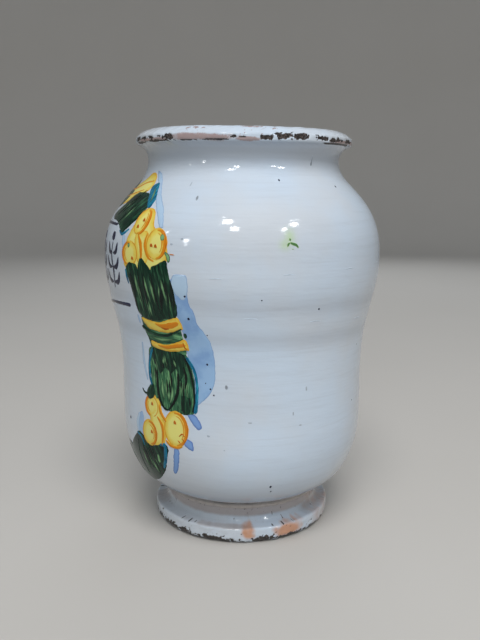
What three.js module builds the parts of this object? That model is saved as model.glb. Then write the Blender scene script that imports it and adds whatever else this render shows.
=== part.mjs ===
// Apothecary jar: a waisted, wheel-thrown earthenware drug jar on a separate foot ring.
//
// Millimetres, +Z up. The origin is the centre of the flat base of the foot, on the surface
// that the jar stands on. The painted front faces -Y.
//
// Three pieces of clay make the jar: the hollow body with its neck and everted lip, the foot
// ring that was thrown apart, and the bead of slip that joins the two.

import * as THREE from "three";

// ---- Driving dimensions ------------------------------------------------------------------

// Heights
const overallHeight = 240; // base of the foot to the top of the lip
const footHeight = 18; // base of the foot to the seat of the body
const lipHeight = 15; // narrowest part of the neck to the top of the lip
const upperHeight = 80.3; // upper waist ring to the narrowest part of the neck
const waistHeight = 17.7; // lower waist ring to upper waist ring
const shoulderRise = 21.3; // upper waist ring to the widest part of the shoulder
const bellyRise = 49; // seat of the body to the widest part of the lower belly

// Outer radii
const shoulderRadius = 85;
const upperWaistRadius = 82;
const lowerWaistRadius = 78;
const bellyRadius = 75.6;
const neckRadius = 59;
const stemRadius = 47; // narrowest part of the foot, under the belly
const lipOverhang = 6.6; // how far the lip's edge stands out past the neck
const footSpread = 9.2; // how far the foot stands out past its stem

// Walls
const wall = 6;
const floorThickness = 8;
const floorRound = 1; // least height of the round between the floor and the wall
const lipBevelWidth = 6.1; // outer edge of the lip in to its flat land
const lipLandWidth = 3; // flat land on top of the lip
const lipEdgeHeight = 3.4; // upright outer edge of the lip
const lipBevelHeight = 4.2; // slope from the lip's outer edge up to its land
const lipUndercut = 0.4; // how far the underside of the lip starts inside its edge

// Foot ring
const footRingHeight = 9.6; // upright outer face of the foot
const footBaseWidth = 8; // flat ring that rests on the table
const footEdgeRound = 4; // radius of the outer bottom edge
const footLipRound = 1.2; // radius of the small raised edge on top of the foot ring
const footWallWidth = 5; // width of the seat that carries the body

// Bead of slip between the foot and the body
const jointGap = 0.3; // gap between neighbouring pieces
const beadHeight = 3;
const beadWidth = 1.8;

// Smoothness
const turns = 48; // facets round the jar
const outsideSteps = 7; // points on each long curve of the outside
const insideSteps = 4; // points on each long curve of the inside
const filletSteps = 4; // points on each small round
const beadSteps = 3; // points on each half of the slip bead

// ---- Heights and radii that follow from them ---------------------------------------------

const neckZ = overallHeight - lipHeight;
const upperWaistZ = neckZ - upperHeight;
const lowerWaistZ = upperWaistZ - waistHeight;
const shoulderZ = upperWaistZ + shoulderRise;
const bodySeatZ = footHeight + jointGap;
const bellyZ = bodySeatZ + bellyRise;
const lipEdgeTopZ = overallHeight - lipBevelHeight;
const lipEdgeBottomZ = lipEdgeTopZ - lipEdgeHeight;
const lipRadius = neckRadius + lipOverhang;
const lipLandOuterRadius = lipRadius - lipBevelWidth;
const lipLandInnerRadius = lipLandOuterRadius - lipLandWidth;
const footRadius = stemRadius + footSpread;
const beadBottomZ = footHeight - beadHeight * 0.4;
const beadTopZ = beadBottomZ + beadHeight;
const stemTopZ = beadTopZ + jointGap;

// ---- Outline helpers ---------------------------------------------------------------------

// Every outline is a list of points in the (radius, height) plane, from the axis or back to
// where it began.

// The same outline moved inwards by the thickness of the wall.
function insetOutline(points, thickness) {
  return points.map((point, index) => {
    const before = points[Math.max(index - 1, 0)];
    const after = points[Math.min(index + 1, points.length - 1)];
    const along = after.clone().sub(before).normalize();
    return new THREE.Vector2(point.x - along.y * thickness, point.y + along.x * thickness);
  });
}

// A closed solid of revolution about Z from an outline in the (radius, height) plane.
function turnedSolid(points) {
  const geometry = new THREE.LatheGeometry(points, turns);
  geometry.rotateX(Math.PI / 2);
  return geometry;
}

// ---- Jar body ----------------------------------------------------------------------------

// Lower part of the wall, from the slip bead up to the lower waist ring.
function bellyPath() {
  const path = new THREE.Path();
  const bellyFlare = (bellyRadius - stemRadius) * 0.6;
  path.moveTo(stemRadius, stemTopZ);
  path.bezierCurveTo(
    stemRadius + bellyFlare, stemTopZ + bellyFlare * 0.2,
    bellyRadius, bellyZ - bellyRise * 0.45,
    bellyRadius, bellyZ
  );
  const rise = lowerWaistZ - bellyZ;
  path.bezierCurveTo(
    bellyRadius, bellyZ + rise * 0.37,
    lowerWaistRadius - rise * 0.06, lowerWaistZ - rise * 0.3,
    lowerWaistRadius, lowerWaistZ
  );
  return path;
}

// Upper part of the wall, from the upper waist ring over the shoulder to the neck.
function shoulderPath() {
  const path = new THREE.Path();
  const waistSlope = (upperWaistRadius - lowerWaistRadius) / waistHeight;
  const fall = neckZ - shoulderZ;
  const shoulderTop = new THREE.Vector2(
    neckRadius + (shoulderRadius - neckRadius) * 0.28,
    neckZ - fall * 0.24
  );
  path.moveTo(upperWaistRadius, upperWaistZ);
  path.bezierCurveTo(
    upperWaistRadius + waistSlope * shoulderRise * 0.4, upperWaistZ + shoulderRise * 0.4,
    shoulderRadius, shoulderZ - shoulderRise * 0.42,
    shoulderRadius, shoulderZ
  );
  path.bezierCurveTo(
    shoulderRadius, shoulderZ + fall * 0.37,
    shoulderTop.x + fall * 0.215, shoulderTop.y - fall * 0.234,
    shoulderTop.x, shoulderTop.y
  );
  path.bezierCurveTo(
    shoulderTop.x - fall * 0.076, shoulderTop.y + fall * 0.083,
    neckRadius, neckZ - fall * 0.1,
    neckRadius, neckZ
  );
  return path;
}

// Underside, edge, bevel and land of the everted lip.
function lipPath() {
  const path = new THREE.Path();
  const flareHeight = lipEdgeBottomZ - neckZ;
  const undersideRadius = lipRadius - lipUndercut;
  path.moveTo(neckRadius, neckZ);
  path.bezierCurveTo(
    neckRadius, neckZ + flareHeight * 0.5,
    neckRadius + (undersideRadius - neckRadius) * 0.4, lipEdgeBottomZ - flareHeight * 0.2,
    undersideRadius, lipEdgeBottomZ
  );
  path.lineTo(lipRadius, lipEdgeBottomZ + lipUndercut);
  path.lineTo(lipRadius, lipEdgeTopZ);
  path.quadraticCurveTo(
    lipRadius - (lipRadius - lipLandOuterRadius) * 0.35, overallHeight - lipBevelHeight * 0.3,
    lipLandOuterRadius, overallHeight
  );
  path.lineTo(lipLandInnerRadius, overallHeight);
  return path;
}

function makeJarBody() {
  const outside = [
    ...bellyPath().getPoints(outsideSteps),
    ...shoulderPath().getPoints(outsideSteps),
    ...lipPath().getPoints(filletSteps).slice(1),
  ];

  // The inside follows the outside at the wall's thickness, from the throat to the floor.
  const floorZ = bodySeatZ + floorThickness;
  const wallOutside = [
    ...bellyPath().getPoints(insideSteps),
    ...shoulderPath().getPoints(insideSteps),
  ];
  const inside = insetOutline(wallOutside, wall)
    .filter((point) => point.y > floorZ + floorRound)
    .reverse();
  const floorEdge = inside[inside.length - 1];

  const outline = [
    new THREE.Vector2(0, bodySeatZ),
    new THREE.Vector2(stemRadius, bodySeatZ),
    ...outside,
    new THREE.Vector2(neckRadius - wall, lipEdgeBottomZ),
    ...inside,
    new THREE.Vector2(floorEdge.x - (floorEdge.y - floorZ) * 2, floorZ),
    new THREE.Vector2(0, floorZ),
  ];
  return turnedSolid(outline);
}

// ---- Foot ring ---------------------------------------------------------------------------

// An annulus: upright outer face, small raised edge, hollow cove up to the stem, flat seat.
function makeFootRing() {
  const path = new THREE.Path();
  const baseInnerRadius = footRadius - footEdgeRound - footBaseWidth;
  const seatInnerRadius = stemRadius - footWallWidth;
  path.moveTo(baseInnerRadius, 0);
  path.lineTo(footRadius - footEdgeRound, 0);
  path.absarc(footRadius - footEdgeRound, footEdgeRound, footEdgeRound, -Math.PI / 2, 0);
  const lipCentreZ = footRingHeight - footLipRound;
  path.lineTo(footRadius, lipCentreZ);
  path.absarc(footRadius - footLipRound, lipCentreZ, footLipRound, 0, Math.PI / 2);
  path.quadraticCurveTo(stemRadius, footRingHeight, stemRadius, beadBottomZ - jointGap);
  path.lineTo(stemRadius, footHeight);
  path.lineTo(seatInnerRadius, footHeight);
  path.lineTo(baseInnerRadius, 0);
  return turnedSolid(path.getPoints(filletSteps));
}

// ---- Slip bead ---------------------------------------------------------------------------

// A half-round bead of slip, pressed into the joint between the foot's stem and the body.
function makeSlipBead() {
  const innerRadius = stemRadius + jointGap;
  const outerRadius = innerRadius + beadWidth;
  const beadMiddleZ = beadBottomZ + beadHeight / 2;
  const path = new THREE.Path();
  path.moveTo(innerRadius, beadBottomZ);
  path.quadraticCurveTo(outerRadius, beadBottomZ, outerRadius, beadMiddleZ);
  path.quadraticCurveTo(outerRadius, beadTopZ, innerRadius, beadTopZ);
  path.lineTo(innerRadius, beadBottomZ);
  return turnedSolid(path.getPoints(beadSteps));
}

// ---- Materials and assembly --------------------------------------------------------------

const glaze = new THREE.MeshStandardMaterial({ color: 0xc9d0d8, roughness: 0.18, metalness: 0 });
const wornGlaze = new THREE.MeshStandardMaterial({ color: 0xc4beb8, roughness: 0.3, metalness: 0 });
const slip = new THREE.MeshStandardMaterial({ color: 0xb8afa6, roughness: 0.4, metalness: 0 });

const jar = new THREE.Group();
jar.name = "apothecary_jar";

function addPiece(name, geometry, material) {
  const piece = new THREE.Mesh(geometry, material);
  piece.name = name;
  jar.add(piece);
}

addPiece("jar_body", makeJarBody(), glaze);
addPiece("foot_ring", makeFootRing(), wornGlaze);
addPiece("luting_slip", makeSlipBead(), slip);

export default jar;
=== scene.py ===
"""Apothecary jar: the visual model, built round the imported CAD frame.

Shapes are worked out in millimetres and written to meshes in metres. A place on the jar is
(azimuth in degrees, height in mm). Azimuth 0 is the painted front (-Y) and azimuth 90 is +X.
"""

import math

import bpy
import numpy as np
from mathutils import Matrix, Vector
from mathutils.geometry import delaunay_2d_cdt


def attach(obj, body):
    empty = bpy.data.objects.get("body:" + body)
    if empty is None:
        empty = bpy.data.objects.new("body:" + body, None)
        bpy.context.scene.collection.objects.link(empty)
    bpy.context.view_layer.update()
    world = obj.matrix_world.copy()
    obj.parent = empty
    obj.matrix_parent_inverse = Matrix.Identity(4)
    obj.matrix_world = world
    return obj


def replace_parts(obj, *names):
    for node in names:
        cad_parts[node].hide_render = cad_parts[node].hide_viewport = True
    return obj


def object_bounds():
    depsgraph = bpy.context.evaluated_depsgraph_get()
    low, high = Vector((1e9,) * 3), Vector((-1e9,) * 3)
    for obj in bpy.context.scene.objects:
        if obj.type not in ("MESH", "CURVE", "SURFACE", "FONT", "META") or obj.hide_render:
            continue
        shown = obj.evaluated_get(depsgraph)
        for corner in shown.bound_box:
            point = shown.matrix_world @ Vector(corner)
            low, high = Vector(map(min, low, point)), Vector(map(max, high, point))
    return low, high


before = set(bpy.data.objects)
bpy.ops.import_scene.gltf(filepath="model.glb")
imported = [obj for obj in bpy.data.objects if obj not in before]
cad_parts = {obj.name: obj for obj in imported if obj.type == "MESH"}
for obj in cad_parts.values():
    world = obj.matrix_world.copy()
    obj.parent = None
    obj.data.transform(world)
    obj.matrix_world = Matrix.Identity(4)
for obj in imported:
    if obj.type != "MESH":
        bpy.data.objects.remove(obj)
cad_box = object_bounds()

MM = 0.001
HEIGHT = cad_box[1].z / MM
WIDEST = cad_box[1].x / MM
DEGREE = WIDEST * math.pi / 180  # mm along the widest ring for one degree of azimuth

# The jar was thrown by hand: it leans a little, differently at each height, and its rings
# sit a little off the axis. Heights in mm, leans in degrees, offsets towards +Y in mm.
LEAN = {0: 0, 20: 0.2, 60: 0.7, 110: 1.4, 150: 1.4, 175: 0.4, 200: -0.6, 215: -0.4, 228: 0.6, 240: 0.6}
OFFSET = {
    0: -1.1, 30: -0.9, 60: -0.9, 105: -0.9, 140: -1.4, 160: -0.5, 190: -0.5, 205: -0.2, 224: 0.1, 232: 0.5,
}
# Where the clay sagged (mm down) and where the radius departs from the regular outline (mm).
SAG = {11: 0, 17: -1.9, 23: -2.1, 34: 0, 160: 0, 190: 1.6, 200: 2.2, 215: 2.4, 224: 1.2, 230: 0}
SWELL = {
    30: 0, 60: 0.2, 105: 0.4, 140: 0.7, 155: 0.2, 166: 0, 180: 0, 200: -0.6, 212: -1.2, 224: -0.8, 232: 0,
}
RIM_DIP = {205: 0, 224: 1.4, 233: 1.5, 240: 0.9}  # how far the +X side of the rim hangs down, in mm
SHRINK = 0.9922  # keeps the uneven surface inside the CAD box
CREST_DROP = 0.95  # the leaning crest's mean height below the CAD crest


# ---- Noise and small helpers -----------------------------------------------------------------


def value_noise(x, y, seed):
    """Smooth noise in -1..1 over a plane."""
    size = 128
    table = np.random.default_rng(seed).uniform(-1, 1, (size, size))
    x0 = np.floor(x).astype(int)
    y0 = np.floor(y).astype(int)
    fx = x - x0
    fy = y - y0
    fx = fx * fx * (3 - 2 * fx)
    fy = fy * fy * (3 - 2 * fy)
    x1 = (x0 + 1) % size
    y1 = (y0 + 1) % size
    x0 = x0 % size
    y0 = y0 % size
    low = table[x0, y0] * (1 - fx) + table[x1, y0] * fx
    high = table[x0, y1] * (1 - fx) + table[x1, y1] * fx
    return low * (1 - fy) + high * fy


def ring_noise(azimuth, height, waves, pitch, seed):
    """Noise on the jar that closes round it: about 'waves' waves round and one every 'pitch' mm up."""
    angle = np.radians(azimuth)
    reach = waves / 4
    first = value_noise(np.cos(angle) * reach + 31, height / pitch + 7, seed)
    second = value_noise(np.sin(angle) * reach + 67, height / pitch + 51, seed + 1)
    return (first + second) / 1.4


def smoothstep(low, high, value):
    t = np.clip((value - low) / (high - low), 0, 1)
    return t * t * (3 - 2 * t)


def lookup(table, value):
    return np.interp(value, list(table), list(table.values()))


def curve_through(points, spacing, closed=False):
    """Points about 'spacing' apart on a smooth curve through the given ones."""
    points = np.asarray(points, float)
    if closed:
        padded = np.vstack([points[-1:], points, points[:2]])
    else:
        padded = np.vstack([2 * points[0] - points[1], points, 2 * points[-1] - points[-2]])
    t = np.linspace(0, 1, 24, endpoint=False)[:, None]
    parts = []
    for a, b, c, d in zip(padded, padded[1:], padded[2:], padded[3:]):
        bend = (2 * a - 5 * b + 4 * c - d) * t**2 + (3 * b - a - 3 * c + d) * t**3
        parts.append(0.5 * (2 * b + (c - a) * t + bend))
    dense = np.vstack(parts + [padded[-2][None]])
    return evenly(dense, spacing, closed)


def evenly(dense, spacing, closed=False):
    """The polyline again with even steps. A closed one leaves out its repeated last point."""
    steps = np.linalg.norm(np.diff(dense, axis=0), axis=1)
    run = np.concatenate([[0], np.cumsum(steps)])
    count = max(3, round(run[-1] / spacing))
    places = np.linspace(0, run[-1], count + 1)
    even = np.stack([np.interp(places, run, column) for column in dense.T], axis=1)
    return even[:-1] if closed else even


# ---- The outlines of the CAD pieces ----------------------------------------------------------


def outline_of(node):
    """The CAD piece's outline on the +X side as ordered (radius, height) points in mm."""
    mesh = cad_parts[node].data
    places = {}
    index_of = []
    for vertex in mesh.vertices:
        key = tuple(round(c / MM, 3) for c in vertex.co)
        index_of.append(places.setdefault(key, len(places)))
    points = np.array(list(places))
    on_plane = (np.abs(points[:, 1]) < 0.01) & (points[:, 0] > -0.01)
    links = {}
    for edge in mesh.edges:
        a, b = (index_of[i] for i in edge.vertices)
        if a != b and on_plane[a] and on_plane[b]:
            links.setdefault(a, set()).add(b)
            links.setdefault(b, set()).add(a)
    on_axis = [i for i in links if points[i][0] < 0.01]
    start = min(on_axis or links, key=lambda i: (points[i][2], points[i][0]))
    order = [start, max(links[start], key=lambda i: points[i][0] - points[i][2])]
    while True:
        ahead = [i for i in links[order[-1]] if i not in order]
        if not ahead:
            break
        order.append(ahead[0])
    return points[order][:, [0, 2]]


def smooth_outline(points, closed, softness):
    """The outline with its curves made round and its corners softened by about 'softness' mm."""
    corner_angle = math.radians(32)
    fine = 0.1
    if closed:
        points = np.vstack([points, points[:1]])
    sides = np.diff(points, axis=0)
    headings = np.arctan2(sides[:, 1], sides[:, 0])
    turns = np.abs((np.diff(headings) + math.pi) % (2 * math.pi) - math.pi)
    corners = [0] + [i + 1 for i in range(len(turns)) if turns[i] > corner_angle] + [len(points) - 1]
    runs = [curve_through(points[a : b + 1], fine)[:-1] for a, b in zip(corners, corners[1:])]
    dense = np.vstack(runs + [points[-1:]])
    reach = int(3 * softness / fine)
    weights = np.exp(-0.5 * (np.arange(-reach, reach + 1) * fine / softness) ** 2)
    weights /= weights.sum()
    if closed:
        padded = np.vstack([dense[-reach - 1 : -1], dense, dense[1 : reach + 1]])
    else:
        # Past the axis the outline goes on as its mirror image.
        start = dense[1 : reach + 1][::-1] * [-1, 1]
        end = dense[-reach - 1 : -1][::-1] * [-1, 1]
        padded = np.vstack([start, dense, end])
    return np.stack([np.convolve(column, weights, "valid") for column in padded.T], axis=1)


def thrown(azimuth, radius, height):
    """Where a point of the regular shape is on the hand-thrown jar: x, y and z in mm."""
    angle = np.radians(azimuth)
    wander = 0.18 * ring_noise(azimuth, height, 5, 70, 5) * smoothstep(20, 60, height)
    reach = radius * SHRINK + lookup(SWELL, height) + wander
    y = -reach * np.cos(angle)
    lean = np.radians(lookup(LEAN, height))
    drop = CREST_DROP * smoothstep(215, HEIGHT, height)
    rim_wave = 0.22 * ring_noise(azimuth, height * 0, 7, 50, 9) * smoothstep(224, 236, height)
    dip = lookup(RIM_DIP, height) * np.clip(np.sin(angle), 0, 1) ** 2
    z = height - drop - dip - lookup(SAG, height) + rim_wave - y * np.tan(lean)
    z = np.maximum(z, 0)
    return np.stack([reach * np.sin(angle), y + lookup(OFFSET, height), z], axis=-1)


# ---- Meshes ----------------------------------------------------------------------------------


def make_object(name, points, faces, attributes, material, slot):
    """A mesh object from points in mm, with one float attribute for each named array."""
    mesh = bpy.data.meshes.new(name)
    mesh.from_pydata((np.asarray(points) * MM).tolist(), [], faces)
    for key, values in attributes.items():
        layer = mesh.attributes.new(key, "FLOAT", "POINT")
        layer.data.foreach_set("value", np.asarray(values, np.float32))
    mesh.polygons.foreach_set("use_smooth", [True] * len(mesh.polygons))
    mesh.materials.append(material)
    mesh.update()
    made = bpy.data.objects.new(name, mesh)
    bpy.context.collection.objects.link(made)
    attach(made, "root")
    return made


def normals_2d(outline, closed):
    """Outward directions along an outline that runs out along the underside and up the outside."""
    if closed:
        ahead = np.roll(outline, -1, axis=0)
        behind = np.roll(outline, 1, axis=0)
        tangent = ahead - behind
    else:
        tangent = np.gradient(outline, axis=0)
    tangent /= np.linalg.norm(tangent, axis=1)[:, None]
    return np.stack([tangent[:, 1], -tangent[:, 0]], axis=1)


def pick_rows(outline, step_at):
    """Rows of a fine outline spaced by step_at(radius, height)."""
    chosen = [0]
    gone = 0.0
    for i in range(1, len(outline)):
        gone += np.linalg.norm(outline[i] - outline[i - 1])
        if gone >= step_at(*outline[i]):
            chosen.append(i)
            gone = 0.0
    return chosen


def revolve(outline, step_at, columns_at, relief, closed):
    """A thrown surface: rows of points round the axis, joined by faces.

    relief(azimuth, radius, height) gives how far each point stands out and its attributes.
    Neighbouring rows may differ in how many columns they have, by a whole factor.
    """
    directions = normals_2d(outline, closed)
    rows = pick_rows(outline, step_at)
    if not closed and rows[-1] != len(outline) - 1:
        rows.append(len(outline) - 1)
    points = []
    attributes = []
    starts = []
    counts = []
    total = 0
    for row in rows:
        radius, height = outline[row]
        count = 1 if radius < 0.05 else columns_at(radius, height)
        azimuth = np.arange(count) * 360 / count
        out, values = relief(azimuth, radius, height)
        side, up = directions[row] if count > 1 else (0, 0)
        points.append(thrown(azimuth, max(radius, 0) + out * side, height + out * up))
        attributes.append(values)
        starts.append(total)
        counts.append(count)
        total += count
    faces = []
    pairs = list(zip(range(len(rows)), range(1, len(rows))))
    if closed:
        pairs.append((len(rows) - 1, 0))
    for low, high in pairs:
        faces += band(starts[low], counts[low], starts[high], counts[high])
    merged = {key: np.concatenate([a[key] for a in attributes]) for key in attributes[0]}
    return np.concatenate(points), faces, merged


def band(low, low_count, high, high_count):
    """Faces between two rows that start at point numbers low and high."""
    count = min(c for c in (low_count, high_count) if c > 1)
    low_parts = low_count // count
    high_parts = high_count // count
    faces = []
    for i in range(count):
        if low_count == 1:
            bottom = [low]
        else:
            bottom = [low + (i * low_parts + k) % low_count for k in range(low_parts + 1)]
        if high_count == 1:
            top = [high]
        else:
            top = [high + (i * high_parts + k) % high_count for k in range(high_parts + 1)]
        faces.append(bottom + top[::-1])
    return faces


# ---- Procedural finishes ---------------------------------------------------------------------


def srgb(red, green, blue):
    """A colour seen on screen (0..255 each) as the linear colour that shaders use."""
    linear = [((c / 255 + 0.055) / 1.055) ** 2.4 if c > 10 else c / 3295 for c in (red, green, blue)]
    return (*linear, 1.0)


class Finish:
    """A Principled material and short calls for the nodes that feed it."""

    def __init__(self, name, roughness, specular=0.5, coat=0.0):
        self.material = bpy.data.materials.new(name)
        self.material.use_nodes = True
        self.nodes = self.material.node_tree.nodes
        self.links = self.material.node_tree.links
        self.surface = self.nodes["Principled BSDF"]
        self.surface.inputs["Roughness"].default_value = roughness
        self.surface.inputs["Specular IOR Level"].default_value = specular
        self.surface.inputs["Coat Weight"].default_value = coat
        self.surface.inputs["Coat Roughness"].default_value = 0.05
        self.place = self.nodes.new("ShaderNodeTexCoord").outputs["Object"]

    def put(self, socket, value):
        if isinstance(value, bpy.types.NodeSocket):
            self.links.new(value, socket)
        else:
            socket.default_value = value

    def math(self, operation, first, second):
        node = self.nodes.new("ShaderNodeMath")
        node.operation = operation
        self.put(node.inputs[0], first)
        self.put(node.inputs[1], second)
        return node.outputs[0]

    def plus(self, value, extra, amount):
        """The value with 'amount' times the extra added."""
        return self.math("ADD", value, self.math("MULTIPLY", extra, amount))

    def reading(self, name):
        """A value that the mesh carries at its points."""
        node = self.nodes.new("ShaderNodeAttribute")
        node.attribute_name = name
        return node.outputs["Fac"]

    def vector(self, x, y, z):
        node = self.nodes.new("ShaderNodeCombineXYZ")
        self.put(node.inputs[0], x)
        self.put(node.inputs[1], y)
        self.put(node.inputs[2], z)
        return node.outputs[0]

    def stretched(self, x, y, z):
        """The place on the jar in metres, multiplied along each axis."""
        node = self.nodes.new("ShaderNodeVectorMath")
        node.operation = "MULTIPLY"
        self.links.new(self.place, node.inputs[0])
        node.inputs[1].default_value = (x, y, z)
        return node.outputs[0]

    def noise(self, where, scale=1.0, detail=3.0, roughness=0.55):
        node = self.nodes.new("ShaderNodeTexNoise")
        self.put(node.inputs["Vector"], where)
        node.inputs["Scale"].default_value = scale
        node.inputs["Detail"].default_value = detail
        node.inputs["Roughness"].default_value = roughness
        return node.outputs["Fac"]

    def ramp(self, value, low, high, top=1.0):
        """0 below low, 'top' above high and smooth between."""
        node = self.nodes.new("ShaderNodeMapRange")
        node.interpolation_type = "SMOOTHSTEP"
        self.put(node.inputs["Value"], value)
        node.inputs["From Min"].default_value = low
        node.inputs["From Max"].default_value = high
        node.inputs["To Max"].default_value = top
        return node.outputs["Result"]

    def mix(self, factor, first, second):
        node = self.nodes.new("ShaderNodeMix")
        node.data_type = "RGBA"
        self.put(node.inputs["Factor"], factor)
        self.put(node.inputs[6], first)
        self.put(node.inputs[7], second)
        return node.outputs[2]

    def bump(self, height, distance):
        node = self.nodes.new("ShaderNodeBump")
        self.put(node.inputs["Height"], height)
        node.inputs["Distance"].default_value = distance
        node.inputs["Strength"].default_value = 1.0
        self.links.new(node.outputs[0], self.surface.inputs["Normal"])

    def finish(self, colour, roughness=None):
        self.put(self.surface.inputs["Base Color"], colour)
        if roughness is not None:
            self.put(self.surface.inputs["Roughness"], roughness)
        return self.material


GLAZE_COOL = srgb(200, 216, 233)
GLAZE_WARM = srgb(203, 210, 218)
# A darker glaze colour, used for the glaze's streaks and for painted shade.
GLAZE_SHADE = srgb(164, 172, 183)
COPPER_HALO = srgb(176, 206, 146)
BARE_CLAY = srgb(150, 120, 112)
CHIP_DARK = srgb(31, 27, 26)
CHIP_PALE = srgb(88, 78, 75)
# Ochre: real stains on the foot, and painted warm light on its right side.
OCHRE_STAIN_AND_PAINTED_LIGHT = srgb(198, 134, 84)
# Brownish pink: clay showing through sparse glaze on the foot, and painted shade at its top under the
# belly.
THIN_GLAZE_AND_PAINTED_SHADE = srgb(152, 136, 130)
GLAZE_ROUGHNESS = 0.1
CHIP_ROUGHNESS = 0.6  # how much rougher a chip is than the glaze


def tin_glaze(finish):
    """The opaque blue-white glaze: cloudy, faintly streaked round the jar, with painted shade under the lip
    and towards the foot.
    """
    clouds = finish.noise(finish.place, 14, 4)
    streaks = finish.noise(finish.stretched(20, 20, 520), 1, 3, 0.65)
    colour = finish.mix(finish.ramp(clouds, 0.35, 0.7), GLAZE_COOL, GLAZE_WARM)
    colour = finish.mix(finish.ramp(streaks, 0.48, 0.78, 0.2), colour, GLAZE_SHADE)
    # Painted shade: the shade reading darkens the glaze under the lip and towards the foot.
    colour = finish.mix(finish.reading("shade"), colour, GLAZE_SHADE)
    return finish.mix(finish.reading("copper"), colour, COPPER_HALO)


def broken_edge(finish, colour):
    """Chips through the glaze to dark fired clay, and worn stretches of pinkish clay."""
    grain = finish.noise(finish.place, 900, 4, 0.7)
    ragged = finish.plus(finish.reading("bare"), grain, 0.5)
    colour = finish.mix(finish.ramp(ragged, 0.7, 1.0, 0.8), colour, BARE_CLAY)
    chip = finish.ramp(finish.reading("chip"), 0.42, 0.6)
    inside = finish.mix(finish.ramp(grain, 0.45, 0.65), CHIP_DARK, CHIP_PALE)
    return finish.mix(chip, colour, inside), chip


def glaze_bump(finish):
    ripple = finish.noise(finish.stretched(60, 60, 260), 1, 2)
    orange_peel = finish.noise(finish.place, 700, 2)
    finish.bump(finish.plus(ripple, orange_peel, 0.12), 0.00018)


def white_glaze():
    finish = Finish("white_tin_glaze", GLAZE_ROUGHNESS, 0.5, 0.3)
    colour, chip = broken_edge(finish, tin_glaze(finish))
    glaze_bump(finish)
    return finish.finish(colour, finish.plus(GLAZE_ROUGHNESS, chip, CHIP_ROUGHNESS))


def foot_glaze():
    """The foot's glaze, thinly laid: pinkish where the clay shows through, stained ochre in patches, warmed
    by painted light on its right side and brownish as painted shade at its top.
    """
    finish = Finish("thin_foot_glaze", GLAZE_ROUGHNESS, 0.5, 0.5)
    colour = tin_glaze(finish)
    clouds = finish.noise(finish.place, 160, 4)
    # Ochre for the real stains and for the painted warm light on the foot's right side.
    stain = finish.plus(finish.reading("stain"), clouds, 0.5)
    colour = finish.mix(finish.ramp(stain, 0.55, 1.1, 0.85), colour, OCHRE_STAIN_AND_PAINTED_LIGHT)
    # The same brownish colour marks sparse glaze and, at the foot's top under the belly, painted shade.
    thin = finish.plus(finish.reading("thin"), clouds, 0.4)
    colour = finish.mix(finish.ramp(thin, 0.4, 1.1, 0.7), colour, THIN_GLAZE_AND_PAINTED_SHADE)
    specks = finish.ramp(finish.noise(finish.place, 1100, 3, 0.7), 0.64, 0.72, 0.45)
    colour = finish.mix(specks, colour, CHIP_PALE)
    colour, chip = broken_edge(finish, colour)
    glaze_bump(finish)
    return finish.finish(colour, finish.plus(GLAZE_ROUGHNESS, chip, CHIP_ROUGHNESS))


def slip_finish():
    finish = Finish("grey_luting_slip", 0.3)
    tone = finish.noise(finish.place, 300, 3)
    return finish.finish(finish.mix(tone, srgb(190, 184, 180), srgb(150, 142, 138)))


# ---- The jar's body, foot and slip -----------------------------------------------------------


def spots(azimuth, height, places, ragged, seed, around=DEGREE, grain=1.0, softness=0.5):
    """A field that is above 0.5 inside ragged patches, each (azimuth from, to, height from, to)."""
    field = np.zeros(len(azimuth))
    up_to = np.full(len(azimuth), height)
    rough = value_noise(azimuth * around / (1.5 * grain), up_to / (1.2 * grain), seed)
    rough += 0.6 * value_noise(azimuth * around / (0.7 * grain), up_to / (0.9 * grain), seed + 1)
    for start, end, low, high in places:
        across = (azimuth - (start + end) / 2) / ((end - start) / 2)
        up = (height - (low + high) / 2) / ((high - low) / 2)
        patch = 1 - (np.abs(across) ** 2.5 + np.abs(up) ** 2.5) ** 0.4
        near = np.clip(patch * 1.6, -1, 1) + ragged * rough
        field = np.maximum(field, np.where(np.abs(across) < 1.6, smoothstep(-softness, softness, near), 0))
    return field


# Chips along the lip's outer corner, seen from +X and made up on the side that isn't seen.
LIP_CHIPS = [
    (15, 26, 233.2, 235.4), (25, 33, 233.4, 235.0), (34, 40, 233.5, 235.0), (42, 46, 234.2, 235.4),
    (47, 55, 233.2, 235.9), (83, 86, 233.6, 234.9), (87, 90.5, 233.6, 234.7), (96.5, 104, 232.5, 235.3),
    (104, 111.6, 233.0, 236.6), (111, 122, 233.2, 236.7), (125, 130, 233.6, 235.8),
    (129, 135.6, 233.0, 235.6), (136, 141, 232.6, 234.9), (140.6, 145, 232.8, 235.3),
    (145.6, 148, 232.8, 234.3), (151, 162, 232.8, 234.8), (168, 174, 233.4, 235.4),
    (188, 201, 233.0, 235.6), (214, 219, 233.4, 235.2), (238, 252, 233.1, 236.0),
    (266, 269, 233.7, 235.0), (283, 297, 233.0, 235.5), (318, 324, 233.4, 235.6),
    (341, 352, 233.1, 235.6),
]
LIP_LINES = [
    (14, 34, 231.5, 232.6), (33, 54, 231.8, 232.8), (57, 68, 231.9, 232.6), (69, 84, 232.1, 232.9),
    (134, 165, 231.3, 232.2), (202, 228, 231.8, 232.6), (300, 325, 231.8, 232.6),
]
LIP_BARE = [
    (51, 90, 231.4, 236.6), (84, 99, 231.6, 234.8), (20, 53, 231.9, 234.4), (136, 172, 231.8, 234.6),
    (200, 236, 232.2, 235.6), (300, 330, 232.2, 235.6),
]
BEVEL_SCRATCHES = [
    (60, 63, 238.2, 239.0), (64, 66.5, 238.4, 239.3), (69, 71, 238.4, 239.1), (90, 99, 239.2, 240.1),
    (103, 106, 238.2, 239.0), (158, 163, 239.2, 240.2), (226, 233, 239.2, 240.2),
    (290, 293, 238.7, 239.6),
]
WAIST_RINGS = (127.0, 144.7)
COPPER_SPLASH = (107.5, 179.0)
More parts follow.
